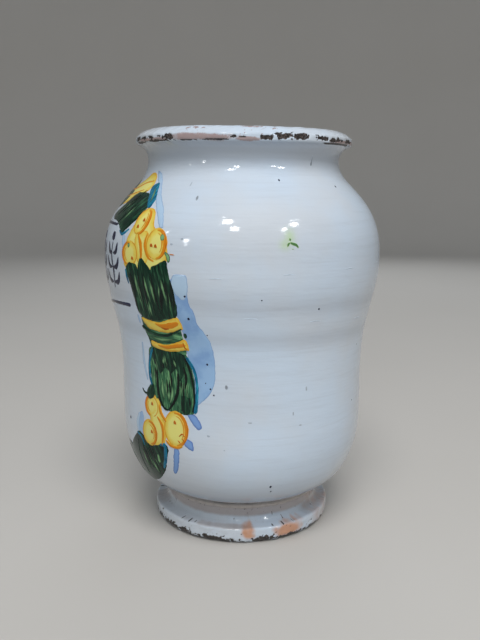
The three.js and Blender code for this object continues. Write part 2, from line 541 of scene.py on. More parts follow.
LIP_FROM = 229.0


def on_outer_wall(radius, height):
    """Whether a point of the body's outline is on its outside, not in the hollow."""
    return radius > lookup(OUTER_WALL, height) - 2.5


def throwing_rings(azimuth, height):
    rings = 0.05 * ring_noise(azimuth, height, 4, 5.5, 21) + 0.12 * ring_noise(azimuth, height, 6, 26, 23)
    return rings * smoothstep(20, 34, height)


def body_relief(azimuth, radius, height):
    flat = np.zeros(len(azimuth))
    outside = height > 20.5 and on_outer_wall(radius, height)
    out = throwing_rings(azimuth, height)
    shade = flat + 0.12
    if outside:
        # Darker bands at the two waist rings.
        for ring in WAIST_RINGS:
            shade = shade + 0.36 * np.exp(-(((height - ring) / 4.5) ** 2))
        # Painted shade under the overhanging lip.
        shade = shade + 0.65 * smoothstep(217, 229, height) * smoothstep(233, 231.5, height)
        # Painted shade on the lower belly towards the foot, and a little random tone.
        shade = shade + 0.9 * smoothstep(50, 24, height) + 0.1 * ring_noise(azimuth, height, 7, 30, 31)
    chip = bare = copper = flat
    if outside:
        across = (azimuth - COPPER_SPLASH[0]) * DEGREE
        up = height - COPPER_SPLASH[1]
        beside = 0.6 * np.exp(-((across + 3.6) ** 2 / 9 + (up + 0.6) ** 2 / 7))
        above = 0.65 * np.exp(-((across + 1.0) ** 2 / 7 + (up - 3.4) ** 2 / 14))
        copper = np.maximum(beside, above)
    if height > LIP_FROM and radius > 54:
        around = math.radians(radius)
        chip = spots(azimuth, height, LIP_CHIPS, 0.7, 41, around, 0.8)
        chip = np.maximum(chip, 0.9 * spots(azimuth, height, LIP_LINES, 0.8, 43, around, 1.2))
        scratch = spots(azimuth, height, BEVEL_SCRATCHES, 1.1, 51, around, 0.6)
        worn = spots(azimuth, height, LIP_BARE, 0.4, 45, around, 4, 0.9)
        bare = np.maximum(np.maximum(0.8 * worn, 0.85 * scratch), 0.44 * smoothstep(234, 237, height))
        dents = 0.12 * value_noise(azimuth * around / 2.5, flat + height / 1.5, 47)
        out = out + dents - 0.45 * smoothstep(0.3, 0.8, chip) - 0.1 * bare
    return out, {"shade": np.clip(shade, 0, 1), "chip": chip, "bare": bare, "copper": copper}


def body_step(radius, height):
    if height > LIP_FROM:
        return 0.6
    return 2.0 if on_outer_wall(radius, height) else 4.0


def body_columns(radius, height):
    if height > LIP_FROM:
        return 900
    return 300 if on_outer_wall(radius, height) else 100


FOOT_STAINS = [
    (90, 98, 2.6, 10.6), (110, 132, 2.2, 9.9), (238, 251, 2.0, 8.4), (330, 337, 3.0, 9.0),
]
FOOT_CHIPS = [
    (10, 20, 3.0, 5.0), (20, 30, 1.2, 5.0), (30, 47, 0, 4.6), (45, 60, -0.4, 4.0),
    (58, 87.5, -0.8, 3.9), (97, 112, -0.4, 4.6), (110, 132, -0.8, 3.0), (130, 150, -0.4, 2.4),
    (152, 156, 1.6, 3.4), (176, 204, -0.6, 3.2), (222, 236, 0, 3.8), (262, 290, -0.6, 3.2),
    (312, 328, 0, 3.6), (346, 360, -0.4, 3.0),
]
FOOT_THIN = [
    (-8, 24, 8.4, 13), (139, 157, 9.4, 13.6), (52, 98, 9.0, 10.3), (205, 226, 4.0, 12),
    (282, 300, 5, 12),
]


def foot_relief(azimuth, radius, height):
    flat = np.zeros(len(azimuth))
    around = math.radians(54)
    outside = radius > 46
    out = 0.06 * ring_noise(azimuth, height, 9, 4, 61)
    chip = stain = thin = shade = flat
    if outside:
        chip = spots(azimuth, height, FOOT_CHIPS, 1.0, 71, around, 0.9)
        stain = spots(azimuth, height, FOOT_STAINS, 0.5, 73, around, 3, 1.6)
        # Painted warm light: from about azimuth 130 to 200 the foot is tinted ochre, as if lit warmly from
        # that side.
        painted_warm_light = 0.5 * smoothstep(128, 150, azimuth) * smoothstep(200, 176, azimuth)
        stain = np.maximum(stain, painted_warm_light)
        thin = 0.65 * spots(azimuth, height, FOOT_THIN, 0.6, 75, around, 4, 1.3)
        # Painted shade: above about 12 mm the foot's top, in the recess under the belly, takes the brownish
        # colour in full.
        thin = np.maximum(thin, smoothstep(11.5, 14.5, height))
        dents = 0.16 * value_noise(azimuth * around / 3, flat + height / 2, 77)
        out = out + dents - 0.35 * smoothstep(0.3, 0.8, chip)
    readings = {"shade": shade + 0.05, "chip": chip, "bare": chip * 0.8, "copper": flat}
    return out, {**readings, "stain": stain, "thin": thin}


def slip_relief(azimuth, radius, height):
    out = 0.12 * value_noise(azimuth * 0.85 / 2.2, np.full(len(azimuth), height / 1.5), 81)
    return out, {}


def outer_wall(outline):
    """The body's outside radius by height, from the foot joint to the lip's edge."""
    top = int(np.argmax(outline[:, 1] > 235))
    side = outline[:top]
    side = side[side[:, 1] > 20.2]
    return dict(zip(side[::8, 1], side[::8, 0]))


body_outline = smooth_outline(outline_of("jar_body"), False, 0.45)
foot_outline = smooth_outline(outline_of("foot_ring"), True, 0.3)
slip_outline = smooth_outline(outline_of("luting_slip"), True, 0.2)
OUTER_WALL = outer_wall(body_outline)


FOOT_COLUMNS = 720
SLIP_COLUMNS = 480


def foot_step(radius, height):
    return 0.6 if radius > 46 else 2


def make_pottery():
    shape = revolve(body_outline, body_step, body_columns, body_relief, False)
    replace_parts(make_object("glazed_jar_body", *shape, white_glaze(), "white_glaze"), "jar_body")
    shape = revolve(foot_outline, foot_step, lambda r, z: FOOT_COLUMNS, foot_relief, True)
    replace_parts(make_object("glazed_foot_ring", *shape, foot_glaze(), "foot_glaze"), "foot_ring")
    shape = revolve(slip_outline, lambda r, z: 0.4, lambda r, z: SLIP_COLUMNS, slip_relief, True)
    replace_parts(make_object("luting_slip_bead", *shape, slip_finish(), "slip"), "luting_slip")


# ---- Painted decoration ----------------------------------------------------------------------
# Paint is thin closed relief on the glaze. Places on the canvas are (azimuth, height in mm).

UNDER = -0.16  # how deep the hidden side of a paint shape lies below the glaze, in mm
BRIM = -0.05  # its edge dips this far, so that the glaze cuts it cleanly
COAT = 0.045  # the first coat's height over the glaze, and what each later coat adds
BULGE = 0.05  # how far a shape's middle rises above its rim, in mm
PAINT_ROUGHNESS = 0.14
PAINT_SHEEN = 0.22  # the specular level of the paint, below the glaze's own


def on_wall(across, height, lift):
    """The place of a canvas point (mm round the widest ring, mm up), lifted off the glaze."""
    azimuth = across / DEGREE
    radii = lookup(OUTER_WALL, height)
    slope = lookup(OUTER_WALL, height + 0.5) - lookup(OUTER_WALL, height - 0.5)
    length = np.sqrt(1 + slope**2)
    out = lift + throwing_rings(azimuth, height)
    return thrown(azimuth, radii + out / length, height - out * slope / length)


def inside(points, loop):
    """Which points lie inside a closed loop."""
    x, y = points[:, :1], points[:, 1:]
    x0, y0 = loop[:, 0], loop[:, 1]
    x1, y1 = np.roll(x0, -1), np.roll(y0, -1)
    spans = (y0 > y) != (y1 > y)
    crossing = (x1 - x0) * (y - y0) / np.where(y1 == y0, 1, y1 - y0) + x0
    return (spans & (x < crossing)).sum(axis=1) % 2 == 1


def distance_to(points, loop):
    """How far each point is from the nearest side of a closed loop."""
    ahead = np.roll(loop, -1, axis=0) - loop
    square = np.maximum((ahead**2).sum(axis=1), 1e-9)
    offset = points[:, None] - loop[None]
    t = np.clip((offset * ahead).sum(axis=2) / square, 0, 1)
    return np.linalg.norm(offset - t[..., None] * ahead, axis=2).min(axis=1)


class Paint:
    """All that is painted in one colour: one mesh made of many thin closed shapes."""

    half = 1  # the half of the wreath being painted: 1 towards +X, -1 towards -X

    def __init__(self, name, material, seed):
        self.name = name
        self.material = material
        self.random = np.random.default_rng(seed)
        self.points = []
        self.faces = []
        self.readings = {"edge": [], "along": [], "across": [], "tone": [], "chance": []}
        self.count = 0

    def add(self, flat, lift, faces, edge, along, across, tone):
        """Closes a flat shape with an underside and a rim, and lays it on the wall."""
        used = {}
        for face in faces:
            for a, b in zip(face, face[1:] + face[:1]):
                used[(a, b)] = True
        count = len(flat)
        low = self.count
        self.points.append(on_wall(flat[:, 0], flat[:, 1], lift))
        self.points.append(on_wall(flat[:, 0], flat[:, 1], np.full(count, UNDER)))
        self.faces += [[low + i for i in face] for face in faces]
        self.faces += [[low + count + i for i in reversed(face)] for face in faces]
        for a, b in used:
            if (b, a) not in used:
                self.faces.append([low + b, low + a, low + count + a, low + count + b])
        chance = self.random.uniform(0, 1)
        values = (edge, along, across, np.full(count, tone), np.full(count, chance))
        for key, value in zip(self.readings, values):
            self.readings[key] += [value, value]
        self.count += 2 * count

    def patch(self, loop, coat, lean=90, tone=0.5, rag=0.22, spacing=1.3):
        """A filled shape. Its brush marks run at 'lean' degrees from the horizontal."""
        loop = curve_through(canvas(loop), 0.8, closed=True)
        area = np.sum(loop[:, 0] * np.roll(loop[:, 1], -1) - np.roll(loop[:, 0], -1) * loop[:, 1])
        if area < 0:
            loop = loop[::-1]
        ahead = np.roll(loop, -1, axis=0) - np.roll(loop, 1, axis=0)
        outward = np.stack([ahead[:, 1], -ahead[:, 0]], axis=1)
        outward /= np.linalg.norm(outward, axis=1)[:, None] + 1e-9
        shift = self.random.uniform(0, 90)
        loop = loop + outward * (rag * value_noise(loop[:, 0] / 1.2 + shift, loop[:, 1] / 1.2, 91))[:, None]
        low = loop.min(axis=0)
        high = loop.max(axis=0)
        grid = np.mgrid[low[0] : high[0] : spacing, low[1] : high[1] : spacing].reshape(2, -1).T
        grid += self.random.uniform(-0.2, 0.2, grid.shape)
        rim = loop - outward * 0.28
        grid = grid[inside(grid, loop)]
        grid = grid[distance_to(grid, loop) > 0.7]
        rim = rim[inside(rim, loop)]
        rim = rim[distance_to(rim, loop) > 0.22]
        everything = np.vstack([loop, rim, grid])
        sides = [(i, (i + 1) % len(loop)) for i in range(len(loop))]
        made = delaunay_2d_cdt([Vector(p) for p in everything], sides, [], 1, 1e-4)
        flat = np.array([tuple(p) for p in made[0]])
        edge = distance_to(flat, loop)
        lift = np.where(edge > 0.1, COAT * coat + BULGE * smoothstep(0.2, 2, edge), BRIM)
        angle = math.radians(lean)
        along = flat @ [math.cos(angle), math.sin(angle)]
        across = flat @ [-math.sin(angle), math.cos(angle)]
        self.add(flat, lift, [list(f) for f in made[2]], edge, along, across, tone)

    def stroke(self, line, widths, coat, tone=0.5):
        """One pull of the brush along a line, with its width given at even steps."""
        line = curve_through(canvas(line), 0.7)
        count = len(line)
        place = np.linspace(0, 1, count)
        width = np.interp(place, np.linspace(0, 1, len(widths)), widths)
        run = place * 0.7 * (count - 1)
        end = np.minimum(run, run[-1] - run)
        half = width / 2 * np.sqrt(np.clip(end / (width / 2), 0.02, 1))
        ahead = np.gradient(line, axis=0)
        side = np.stack([-ahead[:, 1], ahead[:, 0]], axis=1)
        side /= np.linalg.norm(side, axis=1)[:, None]
        shift = self.random.uniform(0, 90)
        steps = np.array([-1, -0.78, -0.3, 0.3, 0.78, 1])
        ragged = [1 + 0.12 * value_noise(run / 1.3 + shift, np.full(count, s * 3.0), 93) for s in (-1, 1)]
        offsets = half[:, None] * steps * np.where(steps < 0, ragged[0][:, None], ragged[1][:, None])
        flat = (line[:, None] + side[:, None] * offsets[..., None]).reshape(-1, 2)
        edge = (half[:, None] * (1 - np.abs(steps))).reshape(-1)
        rows = len(steps)
        top = COAT * coat + BULGE
        rise = np.array([BRIM, COAT * coat, top, top, COAT * coat, BRIM])
        lift = np.tile(rise, count)
        faces = []
        for i in range(count - 1):
            for j in range(rows - 1):
                a = i * rows + j
                faces.append([a, a + rows, a + rows + 1, a + 1])
        along = np.repeat(run, rows)
        self.add(flat, lift, faces, edge, along, offsets.reshape(-1), tone)

    def dab(self, centre, width, height, coat, turn=0):
        """A round or oval touch of the brush. The width is in mm."""
        angles = np.arange(8) * math.pi / 4
        tilt = math.radians(turn)
        x = width / 2 * np.cos(angles)
        y = height / 2 * np.sin(angles)
        across = centre[0] + (x * math.cos(tilt) - y * math.sin(tilt)) / DEGREE
        up = centre[1] + x * math.sin(tilt) + y * math.cos(tilt)
        self.patch(list(zip(across, up)), coat, 90 + turn, 0.5, min(0.15, width / 6), 0.9)

    def make(self):
        values = {key: np.concatenate(parts) for key, parts in self.readings.items()}
        points = np.concatenate(self.points)
        make_object(self.name, points, self.faces, values, self.material, "white_glaze")


def canvas(points):
    """Canvas points in mm. The far half is the near half mirrored, drawn a little differently."""
    points = np.asarray(points, float) * [DEGREE, 1]
    if Paint.half < 0:
        sway = value_noise(points[:, 0] / 22, points[:, 1] / 22, 95)
        lift = value_noise(points[:, 0] / 22, points[:, 1] / 22, 96)
        points = np.stack([1.6 * sway - points[:, 0], points[:, 1] + 1.4 * lift], axis=1)
    return points


def brush_marks(finish, along, across, detail=3.0):
    """Streaks along the brush's way, different in each shape."""
    where = finish.vector(
        finish.math("MULTIPLY", finish.reading("along"), along),
        finish.math("MULTIPLY", finish.reading("across"), across),
        finish.math("MULTIPLY", finish.reading("chance"), 40.0),
    )
    return finish.noise(where, 1.0, detail, 0.6)


def paint_finish(name, dark, middle, light, along, across, low=0.3, high=0.72, brim=None):
    """Enamel colour laid by brush: 'dark' and 'light' streaks through 'middle', pooled at its brim."""
    finish = Finish(name, PAINT_ROUGHNESS, PAINT_SHEEN)
    marks = brush_marks(finish, along, across)
    colour = finish.mix(finish.ramp(marks, low, 0.5), dark, middle)
    colour = finish.mix(finish.ramp(marks, 0.5, high), colour, light)
    if brim:
        uneven = finish.plus(finish.reading("edge"), marks, 0.6)
        pooled = finish.ramp(uneven, 0.9, 0.3)
        colour = finish.mix(pooled, colour, brim)
    finish.bump(marks, 0.00008)
    return finish.finish(colour)


def soft_finish(name, middle, rim, reach):
    """A wet stroke that melts into the colour round it: 'rim' at its edge, 'middle' past 'reach' mm."""
    finish = Finish(name, PAINT_ROUGHNESS, PAINT_SHEEN)
    marks = brush_marks(finish, 0.25, 1.2)
    inner = finish.plus(finish.reading("edge"), marks, 0.5)
    colour = finish.mix(finish.ramp(inner, 0.2, reach + 0.25), rim, middle)
    return finish.finish(colour)


def fruit_finish():
    """Yellow that is pale where it is thick in the middle and amber where it thins to the edge."""
    finish = Finish("fruit_yellow", PAINT_ROUGHNESS, PAINT_SHEEN)
    marks = brush_marks(finish, 0.2, 0.3)
    depth = finish.plus(finish.reading("edge"), marks, 3.2)
    colour = finish.mix(finish.ramp(depth, 1.6, 3.4), AMBER, YELLOW)
    colour = finish.mix(finish.ramp(depth, 3.4, 6.2), colour, LEMON)
    return finish.finish(colour)


def wash_finish():
    """Watered blue: pale inside, darker where it dried at its edge, and clear towards the top."""
    finish = Finish("blue_wash", 0.12, 0.45, 0.2)
    cloud = finish.noise(finish.place, 70, 4, 0.6)
    colour = finish.mix(finish.ramp(cloud, 0.35, 0.65), srgb(112, 152, 202), srgb(140, 177, 216))
    colour = finish.mix(finish.reading("tone"), colour, srgb(180, 204, 224))
    rim = finish.ramp(finish.reading("edge"), 0.9, 0.15, 0.5)
    return finish.finish(finish.mix(rim, colour, srgb(98, 122, 172)))


GREEN_DEEP = srgb(7, 24, 19)
GREEN_DARK = srgb(14, 47, 34)
GREEN_MIDDLE = srgb(50, 98, 68)
GREEN_LIGHT = srgb(116, 170, 118)
TEAL = srgb(18, 104, 136)
LEMON = srgb(222, 216, 124)
YELLOW = srgb(220, 198, 88)
AMBER = srgb(210, 162, 52)
ORANGE = srgb(208, 128, 26)
BURNT = srgb(164, 82, 20)


def mix_paints():
    """The painter's colours, each a Paint."""
    leaf = paint_finish("leaf_green", GREEN_DEEP, GREEN_DARK, GREEN_MIDDLE, 0.1, 0.7, brim=GREEN_DEEP)
    sage = paint_finish("sage_green", GREEN_DARK, GREEN_MIDDLE, GREEN_LIGHT, 0.1, 0.6, brim=GREEN_DARK)
    streak = soft_finish("leaf_streak", srgb(122, 168, 118), GREEN_DARK, 1.0)
    shadow = soft_finish("leaf_shadow", srgb(6, 20, 16), GREEN_DARK, 0.5)
    teal = paint_finish("teal_line", srgb(10, 50, 84), TEAL, srgb(48, 156, 176), 0.2, 1.3)
    orange = soft_finish("fruit_orange", ORANGE, AMBER, 0.8)
    brown = soft_finish("fruit_brown", BURNT, ORANGE, 0.4)
    ink = (srgb(14, 16, 38), srgb(24, 28, 58), srgb(48, 58, 102))
    navy = paint_finish("navy_line", *ink, 0.1, 1.4, 0.3, 0.9)
    drip = soft_finish("blue_drip", srgb(120, 156, 208), srgb(88, 116, 176), 1.6)
    splash = soft_finish("copper_green", srgb(76, 116, 70), COPPER_HALO, 0.45)
    grey = soft_finish("grey_mark", srgb(132, 138, 146), GLAZE_COOL, 0.5)
    # The order sets each paint's random seed.
    names = {
        "greys": grey, "blue_wash": wash_finish(), "blue_drips": drip, "yellow": fruit_finish(),
        "leaves": leaf, "sage": sage, "streaks": streak, "shadows": shadow, "teal": teal,
        "orange": orange, "brown": brown, "navy": navy, "splash": splash,
    }
    return {key: Paint("painted_" + key, finish, 100 + i) for i, (key, finish) in enumerate(names.items())}


def fruit(paints, centre, width, height, turn=0, glow=1, dots=()):
    """A yellow fruit with a thick orange contour on its shaded side and a dab or two in the middle."""
    paints["yellow"].dab(centre, width, height, 2, turn)
    tilt = math.radians(turn)

    def around(start, end, inset):
        sweep = np.radians(np.linspace(start, end, 7))
        x = (width / 2 - inset) * np.cos(sweep)
        y = (height / 2 - inset) * np.sin(sweep)
        across = centre[0] + (x * math.cos(tilt) - y * math.sin(tilt)) / DEGREE
        return list(zip(across, centre[1] + x * math.sin(tilt) + y * math.cos(tilt)))

    shaded = (-85, 100) if glow > 0 else (95, 265)
    lit = (115, 250) if glow > 0 else (-70, 80)
    paints["orange"].stroke(around(*shaded, 1.3), [1.2, 2.4, 3.2, 2.6, 1.2], 3)
    paints["orange"].stroke(around(shaded[0] + 40, shaded[1] - 10, 3.2), [0.6, 1.6, 0.6], 3)
    paints["orange"].stroke(around(*lit, 0.6), [0.7, 1.1, 0.8], 3)
    paints["brown"].stroke(around(shaded[0] + 20, shaded[1] - 30, 0.5), [0.4, 0.8, 0.4], 5)
    for across, up in dots:
        for line in ([(-0.5, -1), (-0.1, 1.2)], [(-0.1, 1.2), (0.7, -1.1)], [(-0.5, -0.5), (0.6, -0.7)]):
            paints["brown"].stroke([(across + x, up + y) for x, y in line], [0.6, 1.1, 0.6], 6)


def leaf_marks(paints, base, tip, width, count, coat=5, light=0.55):
    """Brush marks along a leaf from its base to its tip, some light and some dark."""
    chance = paints["streaks"].random
    run = np.array(tip, float) - base
    flat = run * [DEGREE, 1]
    side = np.array([-flat[1] / DEGREE, flat[0]]) / np.linalg.norm(flat)
    for _ in range(count):
        start = chance.uniform(0, 0.5)
        end = start + chance.uniform(0.28, 0.5)
        shift = chance.uniform(-0.5, 0.5) * width
        sway = chance.uniform(-0.6, 0.6)
        steps = np.array([start, (start + end) / 2, end])[:, None]
        bend = shift * (1 - 0.5 * steps) + sway * np.sin(3 * steps)
        line = run * steps + base + side * bend
        is_light = chance.uniform() < light
        paint = paints["streaks"] if is_light else paints["shadows"]
        paint.stroke(line, [0.5, chance.uniform(1.2, 2.6), 0.5], coat + (0 if is_light else 1))


def wreath_top(paints):
    """The crest of the wreath: a yellow strip, a dark bunch of leaves and a teal leaf."""
    wash, yellow, orange = paints["blue_wash"], paints["yellow"], paints["orange"]
    leaves, streaks, teal = paints["leaves"], paints["streaks"], paints["teal"]
    strip = [(36, 218), (41, 217), (46, 212), (51, 205.5), (56.4, 198), (59.4, 188), (57.6, 187)]
    wash.patch(strip + [(54, 195), (49, 203), (43, 211)], 1, tone=0.75)
    yellow.patch(
        [(8, 213), (20, 212), (31, 217.5), (37, 216), (40.5, 210), (37, 205), (30, 203), (20, 200),
        (9, 204)], 1, 20
    )
    orange.stroke([(12, 209), (22, 209), (31, 212), (38, 213)], [1, 1.8, 1], 3)
    orange.stroke([(16, 204.5), (26, 206), (35, 208)], [0.8, 1.4, 0.8], 3)
    bunch = [(18, 194), (24, 200), (31, 206.5), (38, 206.8), (43, 205.2), (47.2, 200), (46, 195)]
    leaves.patch(
        bunch + [(43.5, 190.5), (40, 186.5), (36, 182.5), (33, 185.5), (28, 189.5), (21, 191)], 2, 35
    )
    leaf_marks(paints, (26, 188), (40, 206), 14, 14, 4, 0.5)
    leaves.patch([(-2, 208), (6, 214.5), (16, 213), (23, 206), (17, 199), (7, 200)], 2, 15)
    streaks.stroke([(2, 207), (10, 208), (18, 206)], [0.8, 1.8, 0.8], 4)
    streaks.stroke([(5, 203), (11, 203.5), (16, 202)], [0.6, 1.4, 0.6], 4)
    teal.patch([(40, 210), (44, 212), (47.5, 207), (49.5, 202), (48, 197.5), (45, 201), (42, 206)], 3, 60)
    streaks.stroke([(44.5, 208.5), (46.5, 204), (47, 201)], [1, 2.0, 1], 5)
    teal.stroke([(33.5, 184.5), (36.5, 182.2), (41, 185.5)], [1, 2.2, 1.2], 3)


def wreath_upper_fruit(paints):
    orange, yellow, streaks = paints["orange"], paints["yellow"], paints["streaks"]
    under = [
        (42, 184), (46, 194), (50, 198), (53.6, 195), (55.4, 187), (60.6, 184), (62.4, 174), (61.4, 164)
    ]
    yellow.patch(under + [(59, 158), (52, 160), (42, 161), (39, 166), (40, 176)], 1)
    fruit(paints, (48, 190), 12, 17, -22, 1, [(46.3, 187.2), (48.8, 191)])
    yellow.patch([(46, 183), (53, 184), (54, 170), (50, 163), (47, 170)], 2)
    fruit(paints, (43, 171), 15, 16, -8, -1, [(45, 168.5)])
    orange.stroke([(47.5, 183), (49.5, 177), (50, 170), (49, 165)], [1.6, 3.2, 2.6, 1.4], 3)
    fruit(paints, (57.2, 177.5), 14.5, 19, -4, 1, [(57, 176.5), (55, 176.8)])
    orange.stroke([(52.6, 184), (51.8, 177), (53.5, 170), (56.5, 167.5)], [1.2, 2.4, 2.2, 1.2], 3)
    streaks.dab((59.8, 181.5), 3.6, 4.2, 4)
    streaks.dab((42.5, 176), 2.6, 3.4, 4)
    streaks.stroke([(61, 173.5), (62.5, 171), (62.8, 167.5)], [1.2, 2.6, 1.6], 4)
    paints["brown"].stroke([(63.2, 172.2), (65.2, 172)], [0.7, 0.5], 4)


def wreath_upper_leaves(paints):
    """Three long dark leaves side by side, pointing up to the fruit."""
    leaves, streaks, shadows = paints["leaves"], paints["streaks"], paints["shadows"]
    left = [
        (40.6, 161), (42, 165.5), (44.6, 166), (47.8, 164), (50, 150), (51, 135), (48.5, 135), (46, 136.8)
    ]
    leaves.patch(left + [(44.8, 141), (43.8, 147), (42.6, 154)], 4, 96)
    middle = [(48, 163.5), (49.8, 169.5), (52.6, 166), (55, 161.5), (57.5, 148), (58.5, 136), (55, 134.3)]
    leaves.patch(middle + [(50, 134.8), (48.5, 146)], 4, 97)
    right = [(54.4, 162.5), (58, 166.5), (61.6, 168.8), (62.4, 164), (63.4, 157), (64.8, 149), (65.7, 142)]
    leaves.patch(right + [(64.6, 137.2), (60, 135.8), (56.5, 136), (55.4, 148)], 4, 98)
    for base, tip, light in (
        ((48.6, 136), (44, 164), 0.3),
        ((54.6, 135), (50.6, 166), 0.35),
        ((61, 137), (59.6, 165), 0.35),
    ):
        leaf_marks(paints, base, tip, 8.5, 9, 5, light)
    for line in (
        [(46.3, 160), (47, 153), (48, 145)], [(51.4, 159), (52.4, 151), (53.8, 144)],
        [(54.2, 157), (55.2, 149), (56, 143)], [(59.4, 158), (60.4, 151), (61.4, 145)],
    ):
        streaks.stroke(line, [0.6, 2.2, 1.7, 0.6], 7)
    for line in (
        [(48.2, 162), (48.9, 151), (50.6, 138)], [(54.6, 161), (56, 150), (58.2, 138)],
        [(43.2, 160), (44.6, 150), (46.2, 141)], [(63.2, 158), (64.4, 149), (64.4, 141)],
    ):
        shadows.stroke(line, [0.8, 1.8, 1.6, 0.8], 6)
    paints["teal"].stroke([(40.4, 161.5), (41, 157), (42, 153)], [1.2, 1.6, 0.6], 5)


def wreath_binding(paints):
    """Two yellow ribbons round the bundle with green between them."""
    yellow, orange, sage = paints["yellow"], paints["orange"], paints["sage"]
    under = [
        (47, 136), (55, 136.5), (63, 137.5), (65.4, 133), (66.6, 126), (67.6, 120), (66, 115), (58, 114)
    ]
    sage.patch(under + [(50, 116), (48.6, 122), (47, 128)], 1, 0)
    ribbon = [
        (46.6, 134.8), (51, 134.2), (56, 133.8), (61, 135.8), (65, 137.6), (66.8, 133.5), (66.6, 130.8)
    ]
    yellow.patch(ribbon + [(60, 128.2), (53.5, 128.2), (49.5, 129.6)], 5, 0)
    orange.stroke([(54, 132.6), (58, 131.6), (62, 132.8), (65.6, 134.6)], [1.0, 3.4, 4.2, 2.6], 7)
    paints["brown"].stroke([(57, 131), (59, 130.3), (61, 130.9)], [0.8, 1.5, 0.8], 8)
    sage.patch(
        [(48, 127.6), (55, 126.6), (61, 127.2), (64.6, 129), (65.2, 124.5), (59, 122), (50.6, 122.6)], 5, 0
    )
    paints["streaks"].stroke([(51, 124.4), (56, 123.8), (62, 124.8)], [1, 2.2, 1], 7)
    paints["leaves"].stroke(
        [(46, 129.8), (50, 127.2), (55, 126.1), (60, 127), (66.5, 131.4)], [2.6, 1.9, 1.5, 1.3, 0.9], 8
    )
    lower = [(50, 122), (54, 121.4), (58.5, 121.3), (63.5, 123.6), (67.4, 125.4), (68.8, 119.3)]
    yellow.patch(lower + [(66.6, 119.2), (62, 117.6), (57, 117.2), (50.6, 118.6)], 6, 0)
    orange.stroke([(53.5, 120.2), (58, 119.8), (63, 121.2), (67.4, 122.4)], [1.0, 2.8, 3.0, 2.2], 8)
    paints["brown"].stroke([(66.2, 124), (66.8, 121), (68, 119.8)], [0.6, 1.2, 0.7], 9)
    paints["leaves"].dab((67.6, 127.6), 2.6, 3.2, 7)


def wreath_lower_leaves(paints):
    leaves, sage, shadows = paints["leaves"], paints["sage"], paints["shadows"]
    streaks, teal = paints["streaks"], paints["teal"]
    sage.patch([(48, 116), (52, 114), (53, 104), (52.6, 93), (50.6, 88.5), (48.4, 94), (47.2, 104)], 3, 92)
    sage.patch(
        [(51.5, 107), (57, 110), (62.6, 107), (62.4, 97), (60.4, 89), (57.2, 84), (54.4, 86),
        (52.2, 93)], 3, 94
    )
    sage.patch(
        [(61.6, 110), (66, 111), (68.8, 100), (68.9, 90), (67.6, 83.2), (64.6, 84), (61.6, 88),
        (62.6, 98)], 3, 94
    )
    under = [
        (47.6, 117), (56, 119), (66, 118), (69.4, 108), (70.6, 96), (69.6, 84), (64, 82.6), (58, 83),
        (52, 86)
    ]
    sage.patch(under + [(48.4, 92), (47, 104)], 1, 94)
    crown = [
        (49, 117.4), (55, 118.4), (61, 118.2), (66.2, 116.2), (66.6, 110), (65, 104), (63, 101), (62, 108)
    ]
    leaves.patch(crown + [(59, 104.6), (56.4, 107.4), (53.4, 103.5), (51.4, 107), (49.6, 110)], 5, 95)
    leaves.patch([(64, 93), (67.6, 92.6), (68, 84.6), (65.6, 82.8), (63.8, 86)], 5, 92)
    leaf_marks(paints, (57, 86), (57, 108), 9, 10, 4, 0.6)
    leaf_marks(paints, (66, 86), (65.4, 108), 6, 7, 4, 0.55)
    leaf_marks(paints, (49.6, 92), (50, 112), 3, 4, 4, 0.6)
    leaf_marks(paints, (57, 105), (57, 117), 20, 9, 6, 0.3)
    for line in ([(54.4, 101), (54.2, 95), (55.2, 89.6)], [(59.6, 98), (59.4, 93), (58.2, 87.6)]):
        streaks.stroke(line, [0.8, 2.6, 1.0], 6)
    streaks.stroke([(65.6, 104), (66.6, 98), (66.2, 93.5)], [0.6, 1.6, 0.6], 5)
    streaks.stroke([(51, 112), (51.6, 108), (51.2, 104)], [0.6, 1.4, 0.6], 6)
    shadows.stroke(
        [(51.4, 106), (51.4, 96), (52.6, 88.5), (55, 84.4), (57.2, 83.6)], [1.6, 2.2, 2.4, 1.8, 1.2], 6
    )
    shadows.stroke([(62.6, 106), (62.3, 96), (60.2, 89), (57.4, 84)], [1.8, 2.6, 2.4, 1.2], 6)
    shadows.stroke([(65.4, 110), (66.4, 103), (65.6, 97)], [1.4, 2.2, 1.0], 6)
    teal.stroke(
        [(50, 117.6), (48, 113), (46.6, 107), (46.6, 100), (48, 95.6)], [2.0, 2.2, 2.0, 1.8, 1.2], 6
    )
    shadows.stroke(
        [(66.2, 115), (68.2, 108), (69.5, 100), (70, 92), (69.2, 84.6)], [1.6, 1.8, 1.6, 1.6, 1.4], 6
    )
    teal.stroke(
        [(67, 115.4), (69.9, 109), (71.1, 102), (71.1, 94), (70.1, 84)], [2.2, 2.2, 2.0, 2.4, 3.2], 6
    )
    leaves.patch([(44, 91), (46.4, 95.6), (49, 96.4), (49.4, 90.4), (46.8, 87.4), (44.4, 88.4)], 6, 70)
    leaves.stroke([(40.8, 92.4), (42.4, 90.4), (45, 90)], [0.7, 1.2, 1.6], 5)


